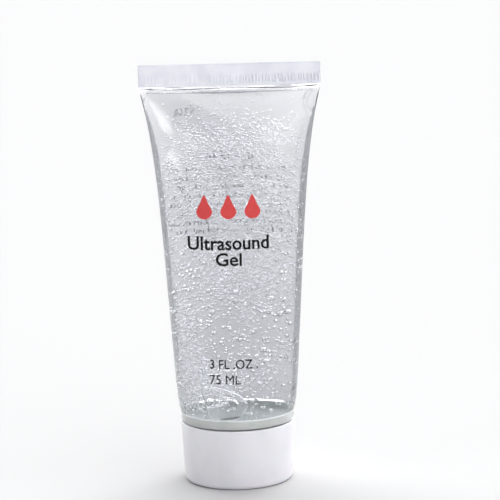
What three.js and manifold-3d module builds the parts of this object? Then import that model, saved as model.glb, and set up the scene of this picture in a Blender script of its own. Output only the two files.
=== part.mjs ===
// A clear plastic squeeze tube of contact gel, about 75 ml, standing on its white screw cap.
// Millimetres, +Z up. The origin is the middle of the cap's flat end, and the printed face looks along -Y.
import * as THREE from "three";
import { mergeVertices } from "three/addons/utils/BufferGeometryUtils.js";
import Module from "manifold-3d";

// ---- Driving dimensions ----

const overallHeight = 128;
const clearance = 0.3; // between pieces that seat on, screw into or are welded to one another
const roundFacets = 40;
const facetsPerThreadTurn = 24;
const facetsOfRidge = 8;

const sleeve = { radius: 17.5, wall: 0.5, rows: 18 };
const roll = { depth: 0.6, height: 2.2, steps: 4 }; // how the sleeve's lower edge turns in over the head
const crimp = { height: 7, thickness: 1 };
const ribBand = { pitch: 1, depth: 0.15, height: 2.6, belowTop: 3.4, margin: 0.5 };
const swell = { evenShare: 0.76, sharpness: 12 }; // how the width grows between the head and the crimp
const head = { wall: 1.2, bandWall: 1, bandHeight: 2.8, slope: THREE.MathUtils.degToRad(25) };
const neck = { radius: 6.5, wall: 1.7, orificeRadius: 2.5, orificeWall: 1 };
const thread = { lead: 3, standOff: 0.1, capTurns: 1.5 };
const seal = { thickness: 0.2, inset: 0.2 };
const liner = { thickness: 1.2, slack: 0.35 };
const cap = {
  height: 18.4,
  lip: 0.1,
  taper: 0.85,
  skirtWall: 1.1,
  endWall: 1.5,
  edgeRound: 1.3,
  edgeSteps: 4,
  hubWall: 1.3,
  ribCount: 4,
  ribWall: 0.8,
  ribDrop: 4,
};

// ---- Heights that follow from them, from the cap's flat end upwards ----

const linerBottom = cap.endWall + clearance;
const linerTop = linerBottom + liner.thickness;
const sealBottom = linerTop + clearance;
const sealTop = sealBottom + seal.thickness;
const neckEnd = sealTop + clearance;
const sleeveBottom = cap.height + clearance;
const bandTop = sleeveBottom + head.bandHeight;
const swellBottom = bandTop + clearance;
const crimpBottom = overallHeight - crimp.height;
const hollowTop = crimpBottom - 2 * sleeve.wall;

// ---- Radii that follow from them ----

const sleeveBore = sleeve.radius - sleeve.wall;
const bandRadius = sleeveBore - clearance;
const bandBore = bandRadius - head.bandWall;
const rimRadius = sleeve.radius + cap.lip;
const skirtBore = rimRadius - cap.skirtWall;
const shoulderEdge = Math.min(bandRadius - roll.depth, skirtBore - clearance);
const neckBore = neck.radius - neck.wall;
const threadRidgeRadius = thread.lead / 4;
const crestHeight = threadRidgeRadius + thread.standOff;
const hubBore = neck.radius + crestHeight + clearance;
const hubRadius = hubBore + cap.hubWall;
const crimpHalfWidth = (Math.PI * sleeve.radius) / 2;

const rise = Math.tan(head.slope);
const shoulderFoot = sleeveBottom - (shoulderEdge - neck.radius) * rise;
const hubTop = shoulderFoot;

// ---- Solids: joining and cutting ----

const wasm = await Module();
wasm.setup();

function solidOf(geometry) {
  const bare = geometry.clone();
  bare.deleteAttribute("normal");
  bare.deleteAttribute("uv");
  const merged = mergeVertices(bare, 1e-4);
  const vertProperties = new Float32Array(merged.attributes.position.array);
  const triVerts = new Uint32Array(merged.index.array);
  return new wasm.Manifold(new wasm.Mesh({ numProp: 3, vertProperties, triVerts }));
}

function geometryOf(solid) {
  const mesh = solid.getMesh();
  const geometry = new THREE.BufferGeometry();
  geometry.setAttribute("position", new THREE.BufferAttribute(mesh.vertProperties, 3));
  geometry.setIndex(new THREE.BufferAttribute(mesh.triVerts, 1));
  const faceted = geometry.toNonIndexed();
  faceted.computeVertexNormals();
  return faceted;
}

function joined(solids) {
  return solids.reduce((whole, next) => whole.add(next));
}

// A profile of [radius, height] points, turned round the Z axis.
function turned(profile) {
  const points = profile.map(([radius, height]) => new THREE.Vector2(radius, height));
  return new THREE.LatheGeometry(points, roundFacets).rotateX(Math.PI / 2);
}

// ---- The sleeve's shape: a round film tube that is pressed flat at its top end ----

// The perimeter of an ellipse, by Ramanujan's first formula.
function girth(a, b) {
  return Math.PI * (3 * (a + b) - Math.sqrt((3 * a + b) * (a + 3 * b)));
}

function halfWidth(height) {
  const up = THREE.MathUtils.clamp((height - swellBottom) / (crimpBottom - swellBottom), 0, 1);
  const growth = swell.evenShare * up + (1 - swell.evenShare) * up ** swell.sharpness;
  return THREE.MathUtils.lerp(sleeve.radius, crimpHalfWidth, growth);
}

// The film doesn't stretch, so the depth is the one that keeps the round sleeve's girth.
function halfDepth(height) {
  const a = halfWidth(height);
  let thin = 0;
  let thick = sleeve.radius;
  for (let step = 0; step < 40; step++) {
    const middle = (thin + thick) / 2;
    if (girth(a, middle) > 2 * Math.PI * sleeve.radius) thick = middle;
    else thin = middle;
  }
  return Math.max(thick, (crimp.thickness - sleeve.wall / 2) / 2);
}

// Moves a round geometry's points to the sleeve's oval, each as far inside it as it was inside the circle.
function pressedFlat(geometry) {
  const place = geometry.attributes.position;
  for (let i = 0; i < place.count; i++) {
    const [x, y, z] = [place.getX(i), place.getY(i), place.getZ(i)];
    const radius = Math.hypot(x, y);
    if (radius < 1e-6 || z <= swellBottom) continue;
    const inside = sleeve.radius - radius;
    place.setX(i, (x / radius) * (halfWidth(z) - inside));
    place.setY(i, (y / radius) * (halfDepth(z) - inside));
  }
  return geometry;
}

// Heights of the sections from the head to the top of the hollow, closer together towards the crimp.
function sectionHeights() {
  const heights = [];
  for (let row = 0; row <= sleeve.rows; row++) {
    const share = Math.sin((row / sleeve.rows) * (Math.PI / 2));
    heights.push(THREE.MathUtils.lerp(swellBottom, hollowTop, share));
  }
  return heights;
}

// The lower edge's turned-in stretch, for a surface that stands at this radius above it.
function rolledEdge(radius) {
  const points = [];
  for (let step = 0; step <= roll.steps; step++) {
    const up = step / roll.steps;
    const inward = roll.depth * (1 - Math.sqrt(1 - (1 - up) ** 2));
    points.push([radius - inward, sleeveBottom + up * roll.height]);
  }
  return points;
}

// ---- Tube pieces ----

function tubeSleeve() {
  const outer = turned([
    [0, sleeveBottom],
    ...rolledEdge(sleeve.radius),
    ...sectionHeights().map((height) => [sleeve.radius, height]),
    [sleeve.radius, crimpBottom],
    [sleeve.radius, crimpBottom + sleeve.wall],
    [0, crimpBottom + sleeve.wall],
  ]);
  const hollow = turned([
    [0, sleeveBottom - clearance],
    [sleeveBore - roll.depth, sleeveBottom - clearance],
    ...rolledEdge(sleeveBore),
    ...sectionHeights().map((height) => [sleeveBore, height]),
    [0, hollowTop],
  ]);
  const bag = solidOf(pressedFlat(outer)).subtract(solidOf(pressedFlat(hollow)));
  return geometryOf(joined([bag, solidOf(crimpSlab()), solidOf(crimpRibs())]));
}

function crimpSlab() {
  const slab = new THREE.BoxGeometry(2 * crimpHalfWidth, crimp.thickness, crimp.height);
  return slab.translate(0, 0, crimpBottom + crimp.height / 2);
}

// Fine upright ribs that the sealing jaw leaves on both faces: one zigzag outline, drawn upwards.
function crimpRibs() {
  const half = crimpHalfWidth - ribBand.margin;
  const count = Math.floor((2 * half) / ribBand.pitch);
  const start = (-count * ribBand.pitch) / 2;
  const root = crimp.thickness / 2 - ribBand.depth;
  const crest = crimp.thickness / 2 + ribBand.depth;
  const face = [];
  for (let tooth = 0; tooth < count; tooth++) {
    face.push([start + tooth * ribBand.pitch, root]);
    face.push([start + (tooth + 0.5) * ribBand.pitch, crest]);
  }
  face.push([-start, root]);
  const back = face.map(([x, y]) => [x, -y]).reverse();
  const outline = [...back, ...face].map(([x, y]) => new THREE.Vector2(x, y));
  const band = new THREE.ExtrudeGeometry(new THREE.Shape(outline), {
    depth: ribBand.height,
    bevelEnabled: false,
  });
  return band.translate(0, 0, overallHeight - ribBand.belowTop - ribBand.height);
}

// The height of the shoulder's inner face at a radius.
function shoulderInside(radius) {
  return shoulderFoot + (radius - neck.radius) * rise + head.wall / Math.cos(head.slope);
}

function tubeHead() {
  const body = turned([
    [neck.orificeRadius, neckEnd],
    [neck.radius, neckEnd],
    [neck.radius, shoulderFoot],
    [shoulderEdge, sleeveBottom],
    ...rolledEdge(bandRadius).slice(1),
    [bandRadius, bandTop],
    [bandBore, bandTop],
    [bandBore, shoulderInside(bandBore)],
    [neckBore, shoulderInside(neckBore)],
    [neckBore, neckEnd + neck.orificeWall],
    [neck.orificeRadius, neckEnd + neck.orificeWall],
    [neck.orificeRadius, neckEnd],
  ]);
  const low = neckEnd + thread.lead / 2;
  const high = shoulderFoot - thread.lead;
  const ridge = threadRidge(neck.radius + thread.standOff, neckEnd, low, high);
  return geometryOf(joined([solidOf(body), solidOf(ridge)]));
}

// A right-hand helix: it climbs one lead in each turn, and passes angle 0 at the datum height.
class Helix extends THREE.Curve {
  constructor(radius, datum, low, high) {
    super();
    Object.assign(this, { radius, datum, low, high });
  }

  getPoint(t) {
    const height = THREE.MathUtils.lerp(this.low, this.high, t);
    const angle = ((height - this.datum) / thread.lead) * 2 * Math.PI;
    return new THREE.Vector3(this.radius * Math.cos(angle), this.radius * Math.sin(angle), height);
  }
}

function threadRidge(radius, datum, low, high) {
  const corners = [];
  for (let corner = 0; corner < facetsOfRidge; corner++) {
    const angle = (corner / facetsOfRidge) * 2 * Math.PI;
    const [x, y] = [Math.cos(angle), Math.sin(angle)];
    corners.push(new THREE.Vector2(threadRidgeRadius * x, threadRidgeRadius * y));
  }
  return new THREE.ExtrudeGeometry(new THREE.Shape(corners), {
    steps: Math.ceil(((high - low) / thread.lead) * facetsPerThreadTurn),
    extrudePath: new Helix(radius, datum, low, high),
  });
}

// The foil over the orifice.
function orificeSeal() {
  const radius = neck.radius - seal.inset;
  return turned([
    [0, sealBottom],
    [radius, sealBottom],
    [radius, sealTop],
    [0, sealTop],
  ]);
}

function gelFill() {
  const lift = clearance / Math.cos(head.slope);
  const boreRadius = neckBore - clearance;
  const bandGelRadius = bandBore - clearance;
  const sections = sectionHeights().slice(0, -1);
  return pressedFlat(
    turned([
      [0, neckEnd + neck.orificeWall + clearance],
      [boreRadius, neckEnd + neck.orificeWall + clearance],
      [boreRadius, shoulderInside(boreRadius) + lift],
      [bandGelRadius, shoulderInside(bandGelRadius) + lift],
      [bandGelRadius, swellBottom],
      ...sections.map((height) => [bandRadius, height]),
      [bandRadius, hollowTop - clearance],
      [0, hollowTop - clearance],
    ]),
  );
}

// ---- Cap pieces ----

function capEdge() {
  const radius = rimRadius - cap.taper - cap.edgeRound;
  const points = [];
  for (let step = 0; step <= cap.edgeSteps; step++) {
    const angle = (step / cap.edgeSteps) * (Math.PI / 2);
    points.push([
      radius + cap.edgeRound * Math.sin(angle),
      cap.edgeRound * (1 - Math.cos(angle)),
    ]);
  }
  return points;
}

function capShell() {
  const skirtFootBore = skirtBore - cap.taper;
  const body = turned([
    [0, 0],
    ...capEdge(),
    [rimRadius, cap.height],
    [skirtBore, cap.height],
    [skirtFootBore, cap.endWall],
    [hubRadius, cap.endWall],
    [hubRadius, hubTop],
    [hubBore, hubTop],
    [hubBore, cap.endWall],
    [0, cap.endWall],
  ]);
  const low = linerTop + thread.lead / 2;
  const high = low + thread.capTurns * thread.lead;
  const datum = neckEnd + thread.lead / 2;
  const ridge = threadRidge(hubBore - thread.standOff, datum, low, high);
  return geometryOf(joined([solidOf(body), solidOf(ridge), ...capRibs().map(solidOf)]));
}

// Thin webs that stiffen the cap between its hub and its skirt.
function capRibs() {
  const inner = hubRadius - cap.hubWall / 2;
  const outer = skirtBore - cap.taper + cap.skirtWall / 2;
  const top = hubTop - cap.ribDrop;
  const bottom = cap.endWall / 2;
  const webs = [];
  for (let rib = 0; rib < cap.ribCount; rib++) {
    const web = new THREE.BoxGeometry(outer - inner, cap.ribWall, top - bottom);
    web.translate((inner + outer) / 2, 0, (top + bottom) / 2);
    webs.push(web.rotateZ(((rib + 0.5) / cap.ribCount) * 2 * Math.PI));
  }
  return webs;
}

function capLiner() {
  const radius = hubBore - liner.slack;
  return turned([
    [0, linerBottom],
    [radius, linerBottom],
    [radius, linerTop],
    [0, linerTop],
  ]);
}

// ---- Materials and the finished object ----

const clearFilm = new THREE.MeshStandardMaterial({
  color: 0xdfe3ea,
  roughness: 0.12,
  metalness: 0,
  transparent: true,
  opacity: 0.35,
});
const clearGel = new THREE.MeshStandardMaterial({
  color: 0xd3d8d4,
  roughness: 0.05,
  metalness: 0,
  transparent: true,
  opacity: 0.4,
});
const milkyPlastic = new THREE.MeshStandardMaterial({ color: 0xe4e8e2, roughness: 0.35, metalness: 0 });
const whitePlastic = new THREE.MeshStandardMaterial({ color: 0xf4f4f6, roughness: 0.38, metalness: 0 });
const whiteFoam = new THREE.MeshStandardMaterial({ color: 0xeeeeea, roughness: 0.8, metalness: 0 });
const foil = new THREE.MeshStandardMaterial({ color: 0xc9ccd0, roughness: 0.3, metalness: 0.9 });

function piece(name, geometry, material) {
  const mesh = new THREE.Mesh(geometry, material);
  mesh.name = name;
  return mesh;
}

const tube = new THREE.Group();
tube.add(
  piece("tube_sleeve", tubeSleeve(), clearFilm),
  piece("tube_head", tubeHead(), milkyPlastic),
  piece("orifice_seal", orificeSeal(), foil),
  piece("gel_fill", gelFill(), clearGel),
);

const screwCap = new THREE.Group();
screwCap.add(
  piece("cap_liner", capLiner(), whiteFoam),
  piece("cap_shell", capShell(), whitePlastic),
);

const gelTube = new THREE.Group();
gelTube.add(tube, screwCap);

export default gelTube;
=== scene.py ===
"""A clear squeeze tube of contact gel, standing on its white screw cap. Blender 4.5, in metres."""
import math
import random

import bpy
import numpy as np
from mathutils import Matrix, Vector, noise


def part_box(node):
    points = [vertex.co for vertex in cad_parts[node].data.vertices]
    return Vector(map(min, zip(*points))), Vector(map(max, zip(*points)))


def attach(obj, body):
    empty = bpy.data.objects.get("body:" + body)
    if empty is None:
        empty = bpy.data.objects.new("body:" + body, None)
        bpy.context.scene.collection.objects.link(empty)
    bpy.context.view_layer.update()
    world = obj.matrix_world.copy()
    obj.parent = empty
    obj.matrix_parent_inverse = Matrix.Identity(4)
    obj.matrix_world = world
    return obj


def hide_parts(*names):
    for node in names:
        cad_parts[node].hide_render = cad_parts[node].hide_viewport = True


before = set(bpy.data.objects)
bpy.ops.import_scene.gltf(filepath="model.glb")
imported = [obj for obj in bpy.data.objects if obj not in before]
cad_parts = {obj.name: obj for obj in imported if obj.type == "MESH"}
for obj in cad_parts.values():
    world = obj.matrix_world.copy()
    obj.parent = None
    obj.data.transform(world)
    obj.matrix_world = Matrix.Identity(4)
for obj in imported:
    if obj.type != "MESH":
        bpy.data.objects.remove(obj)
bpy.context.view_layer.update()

MM = 0.001

# ---- Sizes taken from the frame ----

SLEEVE_LOW, SLEEVE_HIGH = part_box("tube_sleeve")
HEAD_LOW, HEAD_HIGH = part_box("tube_head")
_, CAP_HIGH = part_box("cap_shell")
LINER_LOW, LINER_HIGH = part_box("cap_liner")
FOIL_LOW, FOIL_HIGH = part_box("orifice_seal")

SLEEVE_RADIUS = SLEEVE_HIGH.y
SEAL_HALF_WIDTH = math.pi * SLEEVE_RADIUS / 2
SLEEVE_FOOT = SLEEVE_LOW.z
SLEEVE_TOP = SLEEVE_HIGH.z
BAND_TOP = HEAD_HIGH.z
BAND_RADIUS = HEAD_HIGH.y
NECK_END = HEAD_LOW.z
CAP_TOP = CAP_HIGH.z
CAP_RADIUS = CAP_HIGH.y

# ---- Sizes of the film, the seal and the gel ----

WALL = 0.45 * MM
SEAL_HEIGHT = 7 * MM
SEAL_HALF_THICKNESS = 0.42 * MM
SEAL_BOTTOM = SLEEVE_TOP - SEAL_HEIGHT
AROUND = 448  # points round the sleeve, four to each rib of the seal
RIB_TOP = SLEEVE_TOP - 3.3 * MM
RIB_BOTTOM = SLEEVE_TOP - 5.9 * MM
RIB_DEPTH = 0.2 * MM
FOOT_ROLL = 0.4 * MM
FOOT_ROLL_HEIGHT = 1.4 * MM
GEL_TOP = SEAL_BOTTOM - 1.7 * MM
GEL_OVERLAP = 0.06 * MM  # how far the gel reaches into the walls, so that no air shows between them

rng = np.random.default_rng(75)
picks = random.Random(75)


# ---- Small helpers for meshes ----

def new_piece(name, vertices, faces):
    mesh = bpy.data.meshes.new(name)
    mesh.from_pydata([tuple(v) for v in vertices], [], faces)
    mesh.validate()
    piece = bpy.data.objects.new(name, mesh)
    bpy.context.scene.collection.objects.link(piece)
    return piece


def pick(piece):
    bpy.ops.object.select_all(action="DESELECT")
    piece.select_set(True)
    bpy.context.view_layer.objects.active = piece


def tidy_faces(piece, merge=0.002 * MM):
    """Merges doubles and turns every face outwards."""
    pick(piece)
    bpy.ops.object.mode_set(mode="EDIT")
    bpy.ops.mesh.select_all(action="SELECT")
    bpy.ops.mesh.remove_doubles(threshold=merge)
    bpy.ops.mesh.normals_make_consistent(inside=False)
    bpy.ops.object.mode_set(mode="OBJECT")
    return piece


def smooth(piece, angle=35):
    pick(piece)
    bpy.ops.object.shade_smooth_by_angle(angle=math.radians(angle))
    return piece


def skin(name, rings, close_start=True, close_end=True):
    """A surface over closed rings that have the same number of points."""
    count = len(rings[0])
    faces = []
    for row in range(len(rings) - 1):
        for i in range(count):
            j = (i + 1) % count
            low, high = row * count, (row + 1) * count
            faces.append((low + i, low + j, high + j, high + i))
    vertices = np.concatenate(rings)
    for row, wanted in ((0, close_start), (len(rings) - 1, close_end)):
        if wanted:
            vertices = np.vstack([vertices, rings[row].mean(axis=0)])
            hub = len(vertices) - 1
            faces += [(row * count + i, row * count + (i + 1) % count, hub) for i in range(count)]
    return tidy_faces(new_piece(name, vertices, faces))


def turned(name, profile, steps=128, closed=False):
    """Spins a profile of (radius, height) points round the Z axis."""
    points = [(radius, 0, height) for radius, height in profile]
    edges = [(i, i + 1) for i in range(len(points) - 1)]
    if closed:
        edges.append((len(points) - 1, 0))
    mesh = bpy.data.meshes.new(name)
    mesh.from_pydata(points, edges, [])
    piece = bpy.data.objects.new(name, mesh)
    bpy.context.scene.collection.objects.link(piece)
    pick(piece)
    bpy.ops.object.mode_set(mode="EDIT")
    bpy.ops.mesh.select_all(action="SELECT")
    bpy.ops.mesh.spin(steps=steps, angle=2 * math.pi, center=(0, 0, 0), axis=(0, 0, 1))
    bpy.ops.object.mode_set(mode="OBJECT")
    return tidy_faces(piece)


def arc(centre, radius, start, end, steps):
    """Points of an arc in a profile, with angles in degrees."""
    angles = [math.radians(start + (end - start) * i / steps) for i in range(steps + 1)]
    return [(centre[0] + radius * math.cos(a), centre[1] + radius * math.sin(a)) for a in angles]


# ---- The film tube: round at the head, pressed flat at the seal, the same girth all the way ----

GIRTH = 2 * math.pi * SLEEVE_RADIUS


def share_of_height(z):
    """0 at the top of the head's band, 1 at the bottom of the seal."""
    return np.clip((z - BAND_TOP) / (SEAL_BOTTOM - BAND_TOP), 0, 1)


def half_width(z):
    """Grows fast just above the head, then evenly, then fast again just below the seal."""
    up = share_of_height(z)
    growth = 0.08 * (1 - np.exp(-up / 0.035)) + 0.60 * up + 0.32 * up**6.5
    return SLEEVE_RADIUS + (SEAL_HALF_WIDTH - SLEEVE_RADIUS) * np.minimum(growth, 1)


def edge_power(z):
    """0.5 gives an ellipse. Nearer 1 gives two bows that meet in a sharp fold at each side."""
    return 0.5 + 0.3 * share_of_height(z) ** 5


def half_section(a, b, power, points=241):
    turn = np.linspace(0, math.pi, points)
    return a * np.cos(turn), b * np.sin(turn) ** (2 * power)


def half_depth(z):
    """The depth that gives the section its girth."""
    a, power = half_width(z), edge_power(z)
    thin, thick = 0.0, 1.2 * SLEEVE_RADIUS
    for _ in range(30):
        middle = (thin + thick) / 2
        x, y = half_section(a, middle, power)
        if 2 * np.hypot(np.diff(x), np.diff(y)).sum() > GIRTH:
            thick = middle
        else:
            thin = middle
    return max(thick, SEAL_HALF_THICKNESS)


HEIGHT_TABLE = np.linspace(SLEEVE_FOOT, SEAL_BOTTOM, 400)
DEPTH_TABLE = np.array([half_depth(z) for z in HEIGHT_TABLE])


def depth_at(z):
    return float(np.interp(z, HEIGHT_TABLE, DEPTH_TABLE))


def foot_inset(z):
    """How far the sleeve's lower end turns in over the head."""
    up = (z - SLEEVE_FOOT) / FOOT_ROLL_HEIGHT
    return FOOT_ROLL * (1 - math.sqrt(1 - (1 - up) ** 2)) if up < 1 else 0.0


def waves(x, z, side):
    """Gentle waves that a soft filled tube has."""
    phase = 1.7 * side
    height = (
        0.16 * np.sin(x / (7.1 * MM) + z / (19 * MM) + phase)
        + 0.13 * np.sin(x / (11 * MM) - z / (14 * MM) + 2.1 * phase)
        + 0.07 * np.sin(x / (4.3 * MM) + z / (31 * MM) - phase)
    )
    fade = np.clip((z - BAND_TOP) / (20 * MM), 0, 1) * np.clip((SEAL_BOTTOM - z) / (6 * MM), 0, 1)
    return height * MM * fade


def dog_ear(x, z, side):
    """The film folds in a round ridge at one corner below the seal, on the front."""
    if side > 0:
        return 0 * x
    out = np.hypot(x - (SEAL_HALF_WIDTH - 1.1 * MM), z - (SEAL_BOTTOM - 4.8 * MM))
    ridge = 0.75 * np.exp(-(((out - 3.7 * MM) / (0.5 * MM)) ** 2))
    hollow = 0.25 * np.exp(-((out / (2.2 * MM)) ** 2))
    return (ridge - hollow) * MM


def corner_crease(x, z, side):
    """A short sharp crease at the other corner."""
    along = (z - (SEAL_BOTTOM - 4.6 * MM)) / (2.4 * MM)
    across = x + SEAL_HALF_WIDTH - 1.6 * MM - 1.2 * MM * along
    near = np.exp(-((across / (0.4 * MM)) ** 2)) * np.exp(-((2 * along - 1) ** 4))
    return 0.5 * MM * near


def pinch(x, z, side):
    """Long shallow hollows just below the seal, where the round film is drawn flat."""
    low = 0.55 + 0.45 * np.sin(x / (5.2 * MM) + 0.9 * side + 0.4)
    return -0.38 * MM * low * np.exp(-(((SEAL_BOTTOM - 1.9 * MM - z) / (0.9 * MM)) ** 2))


DIMPLES = (  # x, z, radius and depth in mm
    (-17.5, 109, 4, 0.3),
    (-12.5, 103, 2.6, -0.3),
    (-20, 99, 2.4, 0.25),
    (13, 112, 4, 0.2),
    (-19, 84, 1.6, 0.16),
    (-17, 79, 1.8, -0.16),
    (18, 96, 2.5, 0.15),
)


def dimples(x, z, side):
    """Soft dents in the thin upper part of the film."""
    height = 0 * x
    for across, up, radius, depth in DIMPLES:
        away = (x / MM + side * across) ** 2 + (z / MM - up) ** 2
        height = height - side * depth * np.exp(-away / radius**2)
    return height * MM


def unevenness(x, z, side, inside):
    """How far the film stands out from its plain section, in metres of depth. side is -1 in front.

    inside goes from 0 at the side edges to 1 in the middle, where the tube is thickest.
    """
    soft = waves(x, z, side) + dimples(x, z, side) + pinch(x, z, side)
    folds = dog_ear(x, z, side) + corner_crease(x, z, side)
    return soft * inside + folds * np.minimum(1, 4 * inside)


SWAY = 0.4 * MM
SWAY_START = 95 * MM


def sway(x, z):
    """The seal isn't quite straight when it is seen from above."""
    share = np.clip((z - SWAY_START) / (SEAL_BOTTOM - SWAY_START), 0, 1)
    return SWAY * np.sin(x / (10 * MM) + 0.6) * share * share * (3 - 2 * share)


def ring_at(z, inset=0.0, around=AROUND):
    """The sleeve's section at a height, moved inwards, as points at even spacing."""
    a = half_width(z) - inset - foot_inset(z)
    b = depth_at(z) - inset - foot_inset(z)
    x, y = half_section(a, max(b, 0.05 * MM), edge_power(z))
    run = np.concatenate([[0], np.cumsum(np.hypot(np.diff(x), np.diff(y)))])
    even = np.linspace(0, run[-1], around // 2 + 1)[:-1]
    px, py = np.interp(even, run, x), np.interp(even, run, y)
    back = np.column_stack([px, py, np.full(len(px), z)])
    front = back * (-1, -1, 1)
    inside = np.clip(py / max(b, 1e-6), 0, 1)
    back[:, 1] += unevenness(back[:, 0], z, 1, inside) + sway(back[:, 0], z)
    front[:, 1] -= unevenness(front[:, 0], z, -1, inside) - sway(front[:, 0], z)
    return np.vstack([back, front])


def front_surface(x, z):
    """Where the film's outer face is, in front."""
    inside = max(0.0, 1 - (x / half_width(z)) ** 2) ** edge_power(z)
    return sway(x, z) - depth_at(z) * inside - unevenness(x, z, -1, inside)


def back_surface(x, z):
    inside = max(0.0, 1 - (x / half_width(z)) ** 2) ** edge_power(z)
    return sway(x, z) + depth_at(z) * inside + unevenness(x, z, 1, inside)


FOOT_SHARE = 0.03  # of the sleeve's height, where the rows are closest together


def film_heights():
    """Heights of the rows of the sleeve, closer together towards both ends."""
    foot = np.linspace(0, FOOT_SHARE, 9)[:-1]
    share = np.concatenate([foot, np.sin(np.linspace(FOOT_SHARE, math.pi / 2, 118))])
    return SLEEVE_FOOT + (SEAL_BOTTOM - SLEEVE_FOOT) * share


def rib_share(x):
    """The jaws press the ribs deeper towards one end of the seal."""
    return 0.35 + 0.65 * np.clip(0.5 + 0.7 * x / SEAL_HALF_WIDTH, 0, 1)


def seal_ring(z):
    """The pressed seal's section: a flat strip with a band of fine upright ribs on both faces."""
    count = AROUND // 2
    x = np.linspace(SEAL_HALF_WIDTH, -SEAL_HALF_WIDTH, count + 1)
    thickness = np.full(count + 1, SEAL_HALF_THICKNESS)
    ribs = 0 * x
    if RIB_BOTTOM < z < RIB_TOP:
        ribs = RIB_DEPTH * np.choose(np.arange(count + 1) % 4, [-1, 0, 1, 0])
    if z > SLEEVE_TOP - 0.2 * MM:
        thickness -= 0.15 * MM
    thickness[[0, -1]] = 0.1 * MM
    level = np.full(count + 1, z)
    back = np.column_stack([x, sway(x, z) + thickness + ribs * rib_share(x), level])[:-1]
    front = np.column_stack([-x, sway(-x, z) - thickness - ribs * rib_share(-x), level])[:-1]
    return np.vstack([back, front])


def seal_heights():
    edge = 0.12 * MM
    fine = [RIB_BOTTOM - edge, RIB_BOTTOM + edge, RIB_TOP - edge, RIB_TOP + edge]
    plain = list(np.linspace(SEAL_BOTTOM + 0.3 * MM, SLEEVE_TOP - 0.25 * MM, 12))
    return sorted(fine + plain) + [SLEEVE_TOP]


def build_sleeve():
    outer = [ring_at(z) for z in film_heights()] + [seal_ring(z) for z in seal_heights()]
    inner_heights = [z for z in film_heights() if z < SEAL_BOTTOM - 0.6 * MM]
    inner = [ring_at(z, WALL) for z in reversed(inner_heights)]
    rings = [inner[0] * (0.9, 0.2, 1) + (0, 0, 0.1 * MM)] + inner + outer
    return smooth(skin("clear_sleeve", rings), 50)


# ---- The head: shoulder, neck and thread ----

NECK_RADIUS = 6.5 * MM
NECK_BORE = 4.8 * MM
ORIFICE_RADIUS = 2.5 * MM
BAND_WALL = 1.0 * MM
SHOULDER_SLOPE = math.tan(math.radians(25))
SHOULDER_EDGE = BAND_RADIUS - 0.6 * MM
SHOULDER_FOOT = SLEEVE_FOOT - (SHOULDER_EDGE - NECK_RADIUS) * SHOULDER_SLOPE
SHOULDER_WALL = 1.32 * MM
THREAD_LEAD = 3 * MM
THREAD_RIDGE = 0.75 * MM


def shoulder_inside(radius):
    return SHOULDER_FOOT + (radius - NECK_RADIUS) * SHOULDER_SLOPE + SHOULDER_WALL


def thread_ridge(name, radius, low, high, datum, around=12, per_turn=48):
    """A rounded right-hand ridge that fades out at both ends."""
    steps = round((high - low) / THREAD_LEAD * per_turn)
    rings = []
    for step in range(steps + 1):
        z = low + (high - low) * step / steps
        turn = (z - datum) / THREAD_LEAD * 2 * math.pi
        end = min(step, steps - step) / (per_turn / 10)
        size = THREAD_RIDGE * min(1, 0.25 + 0.75 * end)
        bend = np.linspace(0, 2 * math.pi, around, endpoint=False)
        out = radius + size * np.cos(bend)
        up = z + size * np.sin(bend)
        rings.append(np.column_stack([out * math.cos(turn), out * math.sin(turn), up]))
    return skin(name, rings)


def united(body, tool):
    """Adds tool to body with a boolean modifier that is applied."""
    union = body.modifiers.new("union", "BOOLEAN")
    union.operation, union.object, union.solver = "UNION", tool, "EXACT"
    pick(body)
    bpy.ops.object.modifier_apply(modifier=union.name)
    bpy.data.objects.remove(tool)
    return body


def band_outside(z):
    """The band is welded to the film: it reaches a little way into the film's wall."""
    return SLEEVE_RADIUS - WALL - foot_inset(z) + 0.04 * MM


def build_head():
    bore_floor = NECK_END + 1 * MM
    profile = [
        (ORIFICE_RADIUS, NECK_END),
        (NECK_RADIUS - 0.3 * MM, NECK_END),
        (NECK_RADIUS, NECK_END + 0.3 * MM),
        (NECK_RADIUS, SHOULDER_FOOT),
        (SHOULDER_EDGE, SLEEVE_FOOT),
        *[(band_outside(z), z) for z in np.linspace(SLEEVE_FOOT + 0.3 * MM, BAND_TOP - 0.15 * MM, 8)],
        (band_outside(BAND_TOP) - 0.2 * MM, BAND_TOP),
        (BAND_RADIUS - BAND_WALL + 0.2 * MM, BAND_TOP),
        (BAND_RADIUS - BAND_WALL, BAND_TOP - 0.2 * MM),
        (BAND_RADIUS - BAND_WALL, shoulder_inside(BAND_RADIUS - BAND_WALL)),
        (NECK_BORE, shoulder_inside(NECK_BORE)),
        (NECK_BORE, bore_floor),
        (ORIFICE_RADIUS, bore_floor),
    ]
    head = turned("milky_head", profile, closed=True)
    low, high = NECK_END + THREAD_LEAD / 2, SHOULDER_FOOT - THREAD_LEAD
    ridge = thread_ridge("ridge", NECK_RADIUS + 0.1 * MM, low, high, NECK_END)
    return smooth(united(head, ridge))


# ---- The gel and the air in it ----

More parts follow.
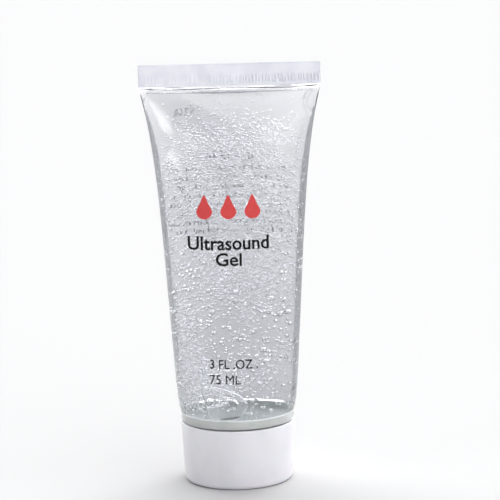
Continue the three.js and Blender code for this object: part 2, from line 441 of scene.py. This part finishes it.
def build_gel():
    bore = NECK_BORE + GEL_OVERLAP
    band = BAND_RADIUS - BAND_WALL + GEL_OVERLAP
    around = 192
    turn = np.linspace(0, 2 * math.pi, around, endpoint=False)

    def circle(radius, z):
        return np.column_stack([radius * np.cos(turn), radius * np.sin(turn), np.full(around, z)])

    inset = WALL - GEL_OVERLAP
    heights = [z for z in film_heights() if BAND_TOP < z < GEL_TOP]
    rings = [
        circle(bore, NECK_END + 1 * MM - GEL_OVERLAP),
        circle(bore, shoulder_inside(bore) - GEL_OVERLAP),
        circle(band, shoulder_inside(band) - GEL_OVERLAP),
        circle(band, BAND_TOP - GEL_OVERLAP),
    ]
    rings += [ring_at(z, inset, around) for z in heights]
    last = ring_at(heights[-1], inset, around)
    rings.append(last * (0.985, 0.6, 1) + (0, 0, 0.35 * MM))
    gel = skin("clear_gel", rings)
    return smooth(gel, 40)


def in_gel(x, y, z, margin):
    """Whether a point is in the gel, at least margin away from the film."""
    a, b = half_width(z) - WALL - margin, depth_at(z) - WALL - margin
    if b <= 0.3 * MM or abs(x) >= a or abs(y) > b * (1 - (x / a) ** 2) ** edge_power(z):
        return False
    return front_surface(x, z) + WALL + margin < y < back_surface(x, z) - WALL - margin


FOAM_BANKS = (  # across, up, half width, half height in mm, and how dense
    (8, 82, 15, 16, 1.0),
    (4, 62, 9, 8, 0.9),
    (5, 105, 18, 7, 0.9),
    (-11, 92, 11, 14, 0.75),
    (-17, 60, 4, 20, 0.5),
    (-15, 37, 5, 14, 1.7),
    (-8, 28, 8, 6, 1.4),
    (9, 37, 6, 4, 0.35),
)
FEWEST = 0.015  # how crowded the clearest gel is
STREAK_SLOPE = math.radians(-32)  # the filling nozzle drags the foam into slanting streaks
STREAK_LENGTH, STREAK_WIDTH, STREAK_DEPTH = 9 * MM, 2.2 * MM, 5 * MM


def crowding(x, y, z):
    """How crowded the fine bubbles are: clear gel with banks of foam, drawn out in streaks."""
    share = FEWEST
    for across, up, width, height, dense in FOAM_BANKS:
        away = ((x / MM - across) / width) ** 2 + ((z / MM - up) / height) ** 2
        share += dense * math.exp(-away)
    along = x * math.cos(STREAK_SLOPE) + z * math.sin(STREAK_SLOPE)
    aside = z * math.cos(STREAK_SLOPE) - x * math.sin(STREAK_SLOPE)
    streak = noise.noise(Vector((along / STREAK_LENGTH, aside / STREAK_WIDTH, y / STREAK_DEPTH)))
    top = min(1.0, max(0.12, (SEAL_BOTTOM - 4 * MM - z) / (8 * MM)))
    return share * top * (0.6 + 0.9 * max(-0.5, streak * 1.8))


POCKET_OUTLINE = (  # x and z in mm
    (-10, 31.8), (-6, 31.6), (-2, 30.6), (1.4, 29), (3.2, 26.6), (2.6, 24),
    (0.4, 21.9), (-4, 21.4), (-8.2, 21.3), (-9.2, 24), (-9.7, 27), (-10.6, 30),
)
POCKET_MIDDLE = (-4 * MM, 26.5 * MM)
POCKET_REACH = 8 * MM  # how far behind the film the gel is clear of bubbles
POCKET_CLEARANCE = 1.12


def near_pocket(x, y, z):
    """Whether a bubble would touch or hide the air pocket."""
    if y > front_surface(x, z) + POCKET_REACH:
        return False
    x, z = ((v - m) / POCKET_CLEARANCE + m for v, m in zip((x, z), POCKET_MIDDLE))
    inside = False
    for (x1, z1), (x2, z2) in zip(POCKET_OUTLINE, POCKET_OUTLINE[1:] + POCKET_OUTLINE[:1]):
        if (z1 > z / MM) != (z2 > z / MM) and x / MM < x1 + (x2 - x1) * (z / MM - z1) / (z2 - z1):
            inside = not inside
    return inside


FRONT_BIAS = 2.0  # above 1, more bubbles cling to the film in front than at the back
CELL = 2 * MM  # at least as wide as the largest bubble
SPACING = 1.06
taken = {}  # the bubbles that are placed already, by cell


def has_room(x, y, z, radius):
    """Keeps bubbles apart, and remembers the ones that have room."""
    cell = (math.floor(x / CELL), math.floor(y / CELL), math.floor(z / CELL))
    for step in np.ndindex(3, 3, 3):
        for other in taken.get(tuple(c + s - 1 for c, s in zip(cell, step)), ()):
            if math.dist((x, y, z), other[:3]) < SPACING * (radius + other[3]):
                return False
    taken.setdefault(cell, []).append((x, y, z, radius))
    return True


BUBBLE_SIZES = (  # name, count, radii in mm, bias to small, evenness, greatest height, segments, rows
    ("large_bubbles", 26, 0.65, 0.95, 1.5, 0.8, 66 * MM, 20, 14),
    ("round_bubbles", 260, 0.42, 0.62, 1.5, 0.7, 72 * MM, 14, 10),
    ("middling_bubbles", 1000, 0.3, 0.48, 1.2, 0.1, 95 * MM, 10, 7),
    *((f"fine_bubbles_{part}", 3000, 0.16, 0.36, 1.4, 0.0, GEL_TOP, 8, 5) for part in (1, 2, 3, 4)),
)


def scattered(count, smallest, largest, bias, evenness, highest, tries=40):
    """Places and radii of bubbles: few are large, most are near the smallest."""
    found = []
    for _ in range(tries * count):
        if len(found) == count:
            break
        z = rng.uniform(BAND_TOP, highest)
        x = rng.uniform(-1, 1) * half_width(z)
        y = (2 * rng.random() ** FRONT_BIAS - 1) * depth_at(z)
        radius = smallest + (largest - smallest) * rng.random() ** bias
        if not in_gel(x, y, z, radius + 0.1 * MM) or near_pocket(x, y, z):
            continue
        if rng.random() < max(evenness, crowding(x, y, z)) and has_room(x, y, z, radius):
            found.append((x, y, z, radius))
    return found


def build_pocket(points=72, rows=14):
    """A crumpled air pocket pressed against the film in front."""
    from_film, above_back = 0.25 * MM, 0.5 * MM
    corners = np.array(POCKET_OUTLINE) * MM
    loop = np.vstack([corners, corners[:1]])
    run = np.linspace(0, len(corners), points, endpoint=False)
    outline = np.column_stack([np.interp(run, range(len(loop)), loop[:, axis]) for axis in (0, 1)])
    for _ in range(3):
        outline = (np.roll(outline, 1, axis=0) + 2 * outline + np.roll(outline, -1, axis=0)) / 4
    middle = outline.mean(axis=0)
    rings = []
    for row in range(2 * rows + 1):
        inwards = abs(row - rows) / rows
        reach = 0.02 + 0.98 * (1 - inwards**1.6)
        ring = middle + (outline - middle) * reach
        thick = (1 - min(1.0, reach) ** 4) ** 0.5
        ring_points = []
        for x, z in ring:
            back = front_surface(x, z) + WALL + from_film + above_back
            folds = noise.noise(Vector((x / (6 * MM), z / (5 * MM), 4.0)))
            bulge = MM * thick * (1.4 + 2.4 * max(0, 0.3 - 3 * abs(folds)))
            dent = 0.1 * MM * thick * noise.noise(Vector((x / (3 * MM), z / (3 * MM), 9.0)))
            ring_points.append((x, back + (bulge if row > rows else dent - 0.35 * MM * thick), z))
        rings.append(np.array(ring_points))
    return smooth(skin("air_pocket", rings), 60)


def bubble_shape(segments, rows):
    bpy.ops.mesh.primitive_uv_sphere_add(segments=segments, ring_count=rows, radius=1)
    ball = bpy.context.active_object
    points = np.array([v.co[:] for v in ball.data.vertices])
    faces = [tuple(p.vertices) for p in ball.data.polygons]
    bpy.data.objects.remove(ball)
    return points, faces


def bubbles(name, places, segments, rows):
    """Copies one round bubble to each place, a little squashed and turned, as one piece."""
    points, faces = bubble_shape(segments, rows)
    vertices, all_faces = [], []
    for number, (x, y, z, radius) in enumerate(places):
        turn = Matrix.Rotation(rng.uniform(0, math.pi), 3, Vector(rng.normal(size=3)).normalized())
        stretch = 1 + rng.normal(size=3) * 0.05
        vertices.append((points * radius * stretch) @ np.array(turn).T + (x, y, z))
        base = number * len(points)
        all_faces += [tuple(base + i for i in face) for face in faces]
    piece = new_piece(name, np.concatenate(vertices), all_faces)
    pick(piece)
    bpy.ops.object.shade_smooth()
    return piece


# ---- The cap ----

CAP_TAPER = 0.85 * MM
CAP_EDGE = 1.3 * MM
CAP_SKIRT_WALL = 1.1 * MM
CAP_END_WALL = 1.5 * MM
HUB_BORE = 7.65 * MM
HUB_RADIUS = 8.95 * MM
CAP_WEBS = 4
WEB_WALL = 0.8 * MM
WEB_DROP = 4 * MM


def build_cap():
    foot = CAP_RADIUS - CAP_TAPER
    bore = CAP_RADIUS - CAP_SKIRT_WALL
    profile = [(0, 0), (foot - CAP_EDGE - 1.2 * MM, 0)]
    profile += arc((foot - CAP_EDGE, CAP_EDGE), CAP_EDGE, -90, 0, 8)
    profile += arc((CAP_RADIUS - 0.25 * MM, CAP_TOP - 0.25 * MM), 0.25 * MM, 0, 90, 4)
    profile += [
        (bore + 0.15 * MM, CAP_TOP),
        (bore, CAP_TOP - 0.15 * MM),
        (bore - CAP_TAPER, CAP_END_WALL),
        (HUB_RADIUS, CAP_END_WALL),
        (HUB_RADIUS, SHOULDER_FOOT - 0.2 * MM),
        (HUB_RADIUS - 0.2 * MM, SHOULDER_FOOT),
        (HUB_BORE + 0.2 * MM, SHOULDER_FOOT),
        (HUB_BORE, SHOULDER_FOOT - 0.2 * MM),
        (HUB_BORE, CAP_END_WALL),
        (0, CAP_END_WALL),
    ]
    cap = turned("white_cap", profile, steps=160)
    low = LINER_HIGH.z + THREAD_LEAD / 2
    datum = NECK_END + THREAD_LEAD / 2
    united(cap, thread_ridge("ridge", HUB_BORE - 0.1 * MM, low, low + 1.5 * THREAD_LEAD, datum))
    for web in range(CAP_WEBS):
        united(cap, cap_web((web + 0.5) / CAP_WEBS * 2 * math.pi))
    return smooth(cap, 30)


def cap_web(angle):
    """A thin web between the hub and the skirt."""
    inner, outer = HUB_RADIUS - 0.6 * MM, CAP_RADIUS - CAP_TAPER - CAP_SKIRT_WALL + 0.5 * MM
    low, high = CAP_END_WALL / 2, SHOULDER_FOOT - WEB_DROP
    bpy.ops.mesh.primitive_cube_add(size=1, location=((inner + outer) / 2, 0, (low + high) / 2))
    web = bpy.context.active_object
    web.scale = (outer - inner, WEB_WALL, high - low)
    pick(web)
    bpy.ops.object.transform_apply(location=True, rotation=False, scale=True)
    web.data.transform(Matrix.Rotation(angle, 4, "Z"))
    return web


def build_liner():
    radius, soft = LINER_HIGH.x, 0.15 * MM
    profile = [(0, LINER_LOW.z), (radius - soft, LINER_LOW.z), (radius, LINER_LOW.z + soft)]
    profile += [(radius, LINER_HIGH.z - soft), (radius - soft, LINER_HIGH.z), (0, LINER_HIGH.z)]
    return smooth(turned("cap_wad", profile, steps=96))


def build_foil():
    radius = FOIL_HIGH.x
    profile = [(0, FOIL_LOW.z), (radius, FOIL_LOW.z), (radius, FOIL_HIGH.z), (0, FOIL_HIGH.z)]
    return smooth(turned("orifice_foil", profile, steps=96))


# ---- Prints ----

INK_LIFT = 0.02 * MM


def wrapped(piece, lift, surface=front_surface):
    """Lays a flat print, drawn in X and Z, on the film."""
    sign = -1 if surface is front_surface else 1
    for vertex in piece.data.vertices:
        vertex.co.y = surface(vertex.co.x, vertex.co.z) + sign * lift
    return piece


def cut_fine(piece, step=1.2 * MM):
    """Cuts a flat print into narrow strips, so that it can follow the film."""
    pick(piece)
    low, high = piece.bound_box[0][0], piece.bound_box[6][0]
    bpy.ops.object.mode_set(mode="EDIT")
    for i in range(1, int((high - low) / step) + 1):
        bpy.ops.mesh.select_all(action="SELECT")
        bpy.ops.mesh.bisect(plane_co=(low + i * step, 0, 0), plane_no=(1, 0, 0))
    bpy.ops.object.mode_set(mode="OBJECT")
    return piece


def lettering(name, words, left, right, baseline, height, bold):
    """Plain generic words, drawn flat at their width and height."""
    bpy.ops.object.text_add()
    text = bpy.context.active_object
    text.data.body = words
    text.data.resolution_u = 4
    text.data.offset = bold
    pick(text)
    bpy.ops.object.convert(target="MESH")
    piece = bpy.context.active_object
    piece.name = name
    points = np.array([v.co[:] for v in piece.data.vertices])
    low, high = points.min(axis=0), points.max(axis=0)
    tall = np.ptp(points[:, 1])
    for vertex, (x, y, _) in zip(piece.data.vertices, points):
        across = (x - low[0]) / (high[0] - low[0])
        vertex.co = (left + (right - left) * across, 0, baseline + y / tall * height)
    return wrapped(cut_fine(piece), INK_LIFT)


def flat_print(name, outlines):
    """A flat print from closed outlines of (x, z) points."""
    vertices, faces = [], []
    for outline in outlines:
        faces.append(tuple(range(len(vertices), len(vertices) + len(outline))))
        vertices += [(x, 0, z) for x, z in outline]
    return new_piece(name, vertices, faces)


def drop_outline(x, z, radius, tall):
    """A plain drop: a round belly and a point on top."""
    points = []
    for step in range(40):
        angle = math.pi / 2 + step / 40 * 2 * math.pi
        lift = (tall - 2 * radius) * max(0, math.sin(angle)) ** 6
        points.append((x + radius * math.cos(angle) * (1 - 0.25 * max(0, math.sin(angle))),
                       z + radius * math.sin(angle) + lift))
    return points


def drops_print():
    """Three plain red drops stand where a mark was."""
    middle, apart, up, radius, tall = -1.2, 7.2, 84.7 * MM, 2.4 * MM, 7.2 * MM
    outlines = [drop_outline((middle + apart * step) * MM, up, radius, tall) for step in (-1, 0, 1)]
    return wrapped(cut_fine(flat_print("print_drops", outlines), 0.8 * MM), INK_LIFT)


def block(left, low, wide, tall):
    return [(left, low), (left + wide, low), (left + wide, low + tall), (left, low + tall)]


def sham_letter(left, low, wide, tall, stroke):
    """A few strokes that look like a letter from afar and read as nothing."""
    stem = block(left, low, stroke, tall * picks.choice((1.0, 1.0, 1.45)))
    strokes = [
        block(left + wide - stroke, low, stroke, tall),
        block(left + stroke, low + tall - stroke, wide - 2 * stroke, stroke),
        block(left + stroke, low + (tall - stroke) / 2, wide - 2 * stroke, stroke),
        block(left + stroke, low, wide - 2 * stroke, stroke),
    ]
    return [stem] + picks.sample(strokes, picks.choice((1, 2, 2)))


def greeked_line(left, right, baseline, tall, stroke):
    """A line of print that can't be read, in words of sham letters."""
    outlines, x = [], left
    wide, run = 0.75 * tall, picks.randint(2, 8)
    while x + wide < right:
        outlines += sham_letter(x, baseline, wide, tall, stroke)
        x, run = x + wide + 1.2 * stroke, run - 1
        if run == 0:
            x, run = x + wide, picks.randint(2, 8)
    return outlines


def back_print():
    """A heading and eight lines of sham print."""
    outlines = greeked_line(-7.2 * MM, 7.2 * MM, 97.6 * MM, 1.9 * MM, 0.5 * MM)
    for row in range(8):
        left = -16.8 * MM + picks.random() * 3 * MM
        right = 16.8 * MM - picks.random() * 4 * MM
        outlines += greeked_line(left, right, (94.6 - 2.75 * row) * MM, 1.1 * MM, 0.26 * MM)
    return wrapped(flat_print("print_back", outlines), -INK_LIFT, back_surface)


def date_code():
    """A stamp of four sham figures in dots, on the back, just below the seal."""
    outlines, dot = [], 0.2 * MM
    for column in range(19):
        for row in range(7):
            if column % 5 != 4 and picks.random() < 0.55:
                left, low = (-16.4 + 0.3 * column) * MM, (111.4 + 0.31 * row) * MM
                outlines.append(block(left, low, dot, dot))
    return wrapped(flat_print("print_stamp", outlines), -INK_LIFT, back_surface)


# ---- Materials ----

def linear(hex_colour):
    """An sRGB hex colour as linear numbers with alpha 1."""
    channels = [int(hex_colour[i : i + 2], 16) / 255 for i in (1, 3, 5)]
    return tuple(c / 12.92 if c <= 0.04045 else ((c + 0.055) / 1.055) ** 2.4 for c in channels) + (1.0,)


def material(name):
    made = bpy.data.materials.new(name)
    made.use_nodes = True
    made.node_tree.nodes.clear()
    return made


def add_node(made, kind, settings=(), **links):
    """Adds a node. settings are its properties or plain inputs, links go from input name to output."""
    node = made.node_tree.nodes.new(kind)
    for key, value in dict(settings).items():
        if hasattr(node, key):
            setattr(node, key, value)
        else:
            node.inputs[key].default_value = value
    for key, output in links.items():
        made.node_tree.links.new(output, node.inputs[key.replace("_", " ")])
    return node


def lets_lamps_through(made, surface, tint):
    """Lamps shine through clear plastic and gel: their shadow rays pass, a little dimmed."""
    path = add_node(made, "ShaderNodeLightPath")
    clear = add_node(made, "ShaderNodeBsdfTransparent", {"Color": tint})
    mix = add_node(made, "ShaderNodeMixShader")
    links = made.node_tree.links
    links.new(path.outputs["Is Shadow Ray"], mix.inputs[0])
    links.new(surface.outputs[0], mix.inputs[1])
    links.new(clear.outputs[0], mix.inputs[2])
    return mix


def pattern(made, scale, detail=2.0, stretch=(1, 1, 1)):
    """Soft noise with features about scale metres apart, drawn out or squeezed along the axes."""
    spot = add_node(made, "ShaderNodeTexCoord")
    drawn = add_node(made, "ShaderNodeMapping", {"Scale": stretch}, Vector=spot.outputs["Object"])
    return add_node(made, "ShaderNodeTexNoise", {"Scale": 1 / scale, "Detail": detail},
                    Vector=drawn.outputs["Vector"]).outputs["Fac"]


def bumped(made, height, depth, strength=1.0):
    settings = {"Strength": strength, "Distance": depth}
    return add_node(made, "ShaderNodeBump", settings, Height=height).outputs["Normal"]


def two_tone(made, factor, one, other, low=0.35, high=0.65):
    """A colour that goes from one tone to another with a pattern."""
    ramp = add_node(made, "ShaderNodeValToRGB", Fac=factor)
    for stop, place_on, tone in zip(ramp.color_ramp.elements, (low, high), (one, other)):
        stop.position, stop.color = place_on, linear(tone)
    return ramp.outputs["Color"]


def clear_polyethylene():
    """Blown film: clear, with faint long ripples from the die."""
    made = material("clear_polyethylene_film")
    ripple = bumped(made, pattern(made, 3 * MM, 1.0, (1, 1, 0.25)), 0.02 * MM)
    shader = add_node(made, "ShaderNodeBsdfPrincipled", {
        "Base Color": linear("#fbfbfd"), "Transmission Weight": 0.985, "IOR": 1.5, "Roughness": 0.02},
        Normal=ripple)
    mix = lets_lamps_through(made, shader, linear("#f4f5f8"))
    add_node(made, "ShaderNodeOutputMaterial", Surface=mix.outputs[0])
    return made


def sealed_polyethylene():
    """Two films melted together turn cloudy, more in some places than in others."""
    made = material("sealed_polyethylene_film")
    haze = two_tone(made, pattern(made, 5 * MM, 3.0), "#e2e3ea", "#eeeff4")
    grain = bumped(made, pattern(made, 0.5 * MM), 0.02 * MM)
    shader = add_node(made, "ShaderNodeBsdfPrincipled", {
        "Transmission Weight": 0.65, "IOR": 1.5, "Roughness": 0.14}, Base_Color=haze, Normal=grain)
    mix = lets_lamps_through(made, shader, linear("#f4f5f8"))
    add_node(made, "ShaderNodeOutputMaterial", Surface=mix.outputs[0])
    return made


GEL_IOR = 1.34
GEL_TINT = (0.74, 0.75, 0.76, 1)
GEL_DIMMING = 78.0  # about half of the light is lost over the tube's thickness, far more than in real gel


def water_gel():
    """Water thickened with a polymer, dimmed on purpose so that the bubbles show in a pale room."""
    made = material("clear_water_gel")
    drag = bumped(made, pattern(made, 4 * MM, 2.0, (1, 1, 0.6)), 0.015 * MM)
    shader = add_node(made, "ShaderNodeBsdfPrincipled", {
        "Base Color": (1, 1, 1, 1), "Transmission Weight": 1.0, "IOR": GEL_IOR, "Roughness": 0.0},
        Normal=drag)
    mix = lets_lamps_through(made, shader, linear("#f2f4f4"))
    dim = add_node(made, "ShaderNodeVolumeAbsorption", {"Color": GEL_TINT, "Density": GEL_DIMMING})
    add_node(made, "ShaderNodeOutputMaterial", Surface=mix.outputs[0], Volume=dim.outputs[0])
    return made


def trapped_air(name, ripple, depth):
    """Air in gel bends light the other way from glass: a bubble has a sharp rim and a bright heart."""
    made = material(name)
    glass = add_node(made, "ShaderNodeBsdfGlass", {
        "Color": (1, 1, 1, 1), "IOR": 1 / GEL_IOR, "Roughness": 0.0},
        Normal=bumped(made, pattern(made, ripple), depth))
    mix = lets_lamps_through(made, glass, linear("#f4f4f4"))
    add_node(made, "ShaderNodeOutputMaterial", Surface=mix.outputs[0])
    return made


def natural_polyethylene():
    """Milky moulding without pigment: light spreads inside it."""
    made = material("natural_polyethylene")
    cloud = two_tone(made, pattern(made, 4 * MM, 3.0), "#e9efe8", "#f5f8f3")
    mould = bumped(made, pattern(made, 0.6 * MM), 0.01 * MM)
    shader = add_node(made, "ShaderNodeBsdfPrincipled", {
        "IOR": 1.5, "Roughness": 0.45, "Transmission Weight": 0.12,
        "Subsurface Weight": 0.4, "Subsurface Radius": (1, 1, 1), "Subsurface Scale": 1.5 * MM},
        Base_Color=cloud, Normal=mould)
    add_node(made, "ShaderNodeOutputMaterial", Surface=shader.outputs[0])
    return made


def white_polypropylene():
    """Moulded white plastic with a satin skin and faint flow marks."""
    made = material("white_polypropylene")
    flow = two_tone(made, pattern(made, 7 * MM, 3.0, (1, 1, 0.5)), "#d8d7dc", "#dedde2")
    grain = bumped(made, pattern(made, 0.9 * MM, 3.0), 0.05 * MM, 0.05)
    scuffs = add_node(made, "ShaderNodeMapRange", {
        "To Min": 0.3, "To Max": 0.44}, Value=pattern(made, 2 * MM, 4.0))
    shader = add_node(made, "ShaderNodeBsdfPrincipled", {
        "IOR": 1.49, "Subsurface Weight": 0.15, "Subsurface Scale": 1.5 * MM},
        Base_Color=flow, Roughness=scuffs.outputs["Result"], Normal=grain)
    add_node(made, "ShaderNodeOutputMaterial", Surface=shader.outputs[0])
    return made


def foamed_polyethylene():
    """The liner's soft white foam, with small closed cells."""
    made = material("foamed_polyethylene")
    spot = add_node(made, "ShaderNodeTexCoord")
    cells = add_node(made, "ShaderNodeTexVoronoi", {
        "Scale": 1 / (0.35 * MM)}, Vector=spot.outputs["Object"])
    shader = add_node(made, "ShaderNodeBsdfPrincipled", {
        "Roughness": 0.7, "IOR": 1.45, "Subsurface Weight": 0.3, "Subsurface Scale": 1 * MM},
        Base_Color=two_tone(made, pattern(made, 2 * MM), "#e4e4e1", "#efefec"),
        Normal=bumped(made, cells.outputs["Distance"], 0.06 * MM))
    add_node(made, "ShaderNodeOutputMaterial", Surface=shader.outputs[0])
    return made


def printing_ink(name, thick, thin):
    """Screen ink: a little thicker and darker in some places than in others."""
    made = material(name)
    mottle = two_tone(made, pattern(made, 0.5 * MM, 3.0), thick, thin)
    shader = add_node(made, "ShaderNodeBsdfPrincipled", {
        "Roughness": 0.5, "Specular IOR Level": 0.1}, Base_Color=mottle,
        Normal=bumped(made, pattern(made, 0.15 * MM), 0.004 * MM))
    add_node(made, "ShaderNodeOutputMaterial", Surface=shader.outputs[0])
    return made


def foil_metal():
    """Sealing foil with soft wrinkles from the heat seal."""
    made = material("aluminium_foil")
    tone = two_tone(made, pattern(made, 1.5 * MM, 3.0), "#c9cbce", "#d6d8db")
    shader = add_node(made, "ShaderNodeBsdfPrincipled", {
        "Metallic": 1.0, "Roughness": 0.25},
        Base_Color=tone, Normal=bumped(made, pattern(made, 1.2 * MM, 4.0), 0.08 * MM))
    add_node(made, "ShaderNodeOutputMaterial", Surface=shader.outputs[0])
    return made


def coat(piece, made):
    piece.data.materials.clear()
    piece.data.materials.append(made)
    return piece


SEAL_MARGIN = 0.3 * MM


def coat_seal(sleeve, made):
    """Gives the sealed edge of the sleeve its own material."""
    sleeve.data.materials.append(made)
    for face in sleeve.data.polygons:
        face.material_index = int(face.center.z > SEAL_BOTTOM + SEAL_MARGIN)


# ---- Studio: camera, floor and lights ----

VIEW_DISTANCE = 0.55
VIEW_HEIGHT = math.radians(8.58)
VIEW_ROLL = math.radians(-1.38)
VIEW_CENTRE = Vector((5.0 * MM, 0, 62 * MM))
VIEW_LIFT = 8.9 * MM
LENS = 129.2


def set_camera():
    data = bpy.data.cameras.new("camera")
    data.lens, data.sensor_width = LENS, 36
    data.clip_start, data.clip_end = 0.01, 100
    camera = bpy.data.objects.new("camera", data)
    bpy.context.scene.collection.objects.link(camera)
    back = Vector((0, -math.cos(VIEW_HEIGHT), math.sin(VIEW_HEIGHT)))
    right = Vector((1, 0, 0))
    up = back.cross(right)
    turn = Matrix.Rotation(VIEW_ROLL, 3, back)
    right_rolled, up_rolled = turn @ right, turn @ up
    place = VIEW_CENTRE + back * VIEW_DISTANCE + up * VIEW_LIFT
    columns = Matrix((right_rolled, up_rolled, back)).transposed().to_4x4()
    camera.matrix_world = Matrix.Translation(place) @ columns
    bpy.context.scene.camera = camera


LAMPS = (  # turn from the front to the right and angle up, in degrees, width as a cosine, and strength
    (58, 50, 0.5, 1.4),
    (152, 38, 0.84, 6.5),
    (-148, 42, 0.84, 5.0),
    (-62, 13, 0.955, 3.0),
)


def direction(turn, up):
    turn, up = math.radians(turn), math.radians(up)
    return Vector((math.sin(turn) * math.cos(up), -math.cos(turn) * math.cos(up), math.sin(up)))


def eased(tree, value, start, end, low=0.0, high=1.0):
    """A value that goes from low to high between start and end."""
    node = tree.nodes.new("ShaderNodeMapRange")
    node.interpolation_type = "SMOOTHSTEP"
    for name, number in (("From Min", start), ("From Max", end), ("To Min", low), ("To Max", high)):
        node.inputs[name].default_value = number
    tree.links.new(value, node.inputs["Value"])
    return node.outputs["Result"]


def combined(tree, kind, operation, *values):
    node = tree.nodes.new(kind)
    node.operation = operation
    for number, value in enumerate(values):
        tree.links.new(value, node.inputs[number])
    return node.outputs[0]


FLAG_START, FLAG_FULL = 0.6, 0.85  # how far to the side, 1 is straight to the side
FLAG_LOW, FLAG_HIGH = 0.1, 0.2  # how far up, 1 is straight up
FLAG_TONE = 0.3


def side_flags(tree, split, light):
    """Grey flags at both sides, above the white wall, give clear plastic and bubbles dark edges."""
    away = combined(tree, "ShaderNodeMath", "ABSOLUTE", split.outputs["X"])
    aside = eased(tree, away, FLAG_START, FLAG_FULL)
    above = eased(tree, split.outputs["Z"], FLAG_LOW, FLAG_HIGH)
    flag = combined(tree, "ShaderNodeMath", "MULTIPLY", aside, above)
    dimmed = eased(tree, flag, 0.0, 1.0, 1.0, FLAG_TONE)
    return combined(tree, "ShaderNodeVectorMath", "MULTIPLY", light, dimmed)


WALL_TOP, CEILING_START = 0.1, 0.4  # how far up, 1 is straight up


def studio_walls():
    """A pale room: a low white wall all round, a grey ceiling, and large soft lamps on it."""
    world = bpy.data.worlds.new("studio")
    world.use_nodes = True
    tree = world.node_tree
    place = tree.nodes.new("ShaderNodeTexCoord")
    split = tree.nodes.new("ShaderNodeSeparateXYZ")
    wall = tree.nodes.new("ShaderNodeValToRGB")
    wall.color_ramp.elements[0].position = WALL_TOP
    wall.color_ramp.elements[0].color = (1, 1, 1, 1)
    wall.color_ramp.elements[1].position = CEILING_START
    wall.color_ramp.elements[1].color = linear("#6c6e75")
    tree.links.new(place.outputs["Generated"], split.inputs[0])
    tree.links.new(split.outputs["Z"], wall.inputs[0])
    light = side_flags(tree, split, wall.outputs[0])
    for turn, up, width, strength in LAMPS:
        towards = tree.nodes.new("ShaderNodeVectorMath")
        towards.operation = "DOT_PRODUCT"
        towards.inputs[1].default_value = direction(turn, up)
        tree.links.new(place.outputs["Generated"], towards.inputs[0])
        lamp = eased(tree, towards.outputs["Value"], width, 1.0, 0.0, strength)
        light = combined(tree, "ShaderNodeVectorMath", "ADD", light, lamp)
    tree.links.new(light, tree.nodes["Background"].inputs["Color"])
    return world


def soft_lamp(strength):
    data = bpy.data.lights.new("soft_lamp", "SUN")
    data.energy, data.angle = strength, math.radians(90)
    light = bpy.data.objects.new("soft_lamp", data)
    towards = direction(*LAMPS[0][:2])
    light.rotation_mode = "QUATERNION"
    light.rotation_quaternion = towards.to_track_quat("Z", "Y")
    bpy.context.scene.collection.objects.link(light)


FLOOR_SIZE = 80
SOFT_LAMP = 0.8


def set_studio():
    bpy.ops.mesh.primitive_plane_add(size=FLOOR_SIZE, location=(0, 0, 0))
    floor = bpy.context.active_object
    floor.name = "floor"
    pale = material("pale_floor")
    shader = add_node(pale, "ShaderNodeBsdfPrincipled", {
        "Base Color": linear("#bababa"), "Roughness": 0.9, "Specular IOR Level": 0.0})
    add_node(pale, "ShaderNodeOutputMaterial", Surface=shader.outputs[0])
    coat(floor, pale)
    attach(floor, "liner")  # the floor stays under the cap when the cap is unscrewed downwards
    scene = bpy.context.scene
    scene.world = studio_walls()
    soft_lamp(SOFT_LAMP)
    scene.view_settings.view_transform = "Standard"
    scene.cycles.max_bounces = 40
    scene.cycles.transmission_bounces = 36
    scene.cycles.transparent_max_bounces = 24
    scene.cycles.caustics_reflective = False


# ---- Putting the object together ----

set_camera()

film = clear_polyethylene()
gel = water_gel()
bubble_air = trapped_air("bubble_air", 0.3 * MM, 0.005 * MM)
pocket_air = trapped_air("pocket_air", 2 * MM, 0.03 * MM)
natural = natural_polyethylene()
white = white_polypropylene()
black_ink = printing_ink("black_ink", "#050506", "#0c0c0d")
red_ink = printing_ink("red_ink", "#c84545", "#d04f4e")
grey_ink = printing_ink("grey_ink", "#2b3643", "#394552")


def place(piece, body, made, slot, *nodes):
    coat(piece, made)
    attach(piece, body)
    if nodes:
        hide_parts(*nodes)


sleeve = build_sleeve()
place(sleeve, "tube", film, "clear_film", "tube_sleeve")
coat_seal(sleeve, sealed_polyethylene())
place(build_head(), "tube", natural, "milky_plastic", "tube_head")
place(build_gel(), "tube", gel, "clear_gel", "gel_fill")
place(build_foil(), "tube", foil_metal(), "foil", "orifice_seal")
place(build_cap(), "cap", white, "white_plastic", "cap_shell")
place(build_liner(), "liner", foamed_polyethylene(), "white_foam", "cap_liner")

for name, count, smallest, largest, bias, evenness, highest, segments, rows in BUBBLE_SIZES:
    places = scattered(count, smallest * MM, largest * MM, bias, evenness, highest)
    place(bubbles(name, places, segments, rows), "tube", bubble_air, "clear_gel")
place(build_pocket(), "tube", pocket_air, "clear_gel")

words = (  # name, text, left, right, baseline, height and boldness
    ("print_use", "Ultrasound", -13.6 * MM, 10.7 * MM, 73.2 * MM, 4.2 * MM, 0.018),
    ("print_kind", "Gel", -5.3 * MM, 2.5 * MM, 68.4 * MM, 4.0 * MM, 0.018),
    ("print_ounces", "3 FL .OZ .", -7.9 * MM, 6.6 * MM, 37.4 * MM, 2.8 * MM, 0.007),
    ("print_volume", "75 ML", -8 * MM, 1.3 * MM, 32.7 * MM, 2.8 * MM, 0.0),
)
for name, text, *measures in words:
    place(lettering(name, text, *measures), "tube", black_ink, "clear_film")

place(drops_print(), "tube", red_ink, "clear_film")
place(back_print(), "tube", grey_ink, "clear_film")
place(date_code(), "tube", grey_ink, "clear_film")

set_studio()
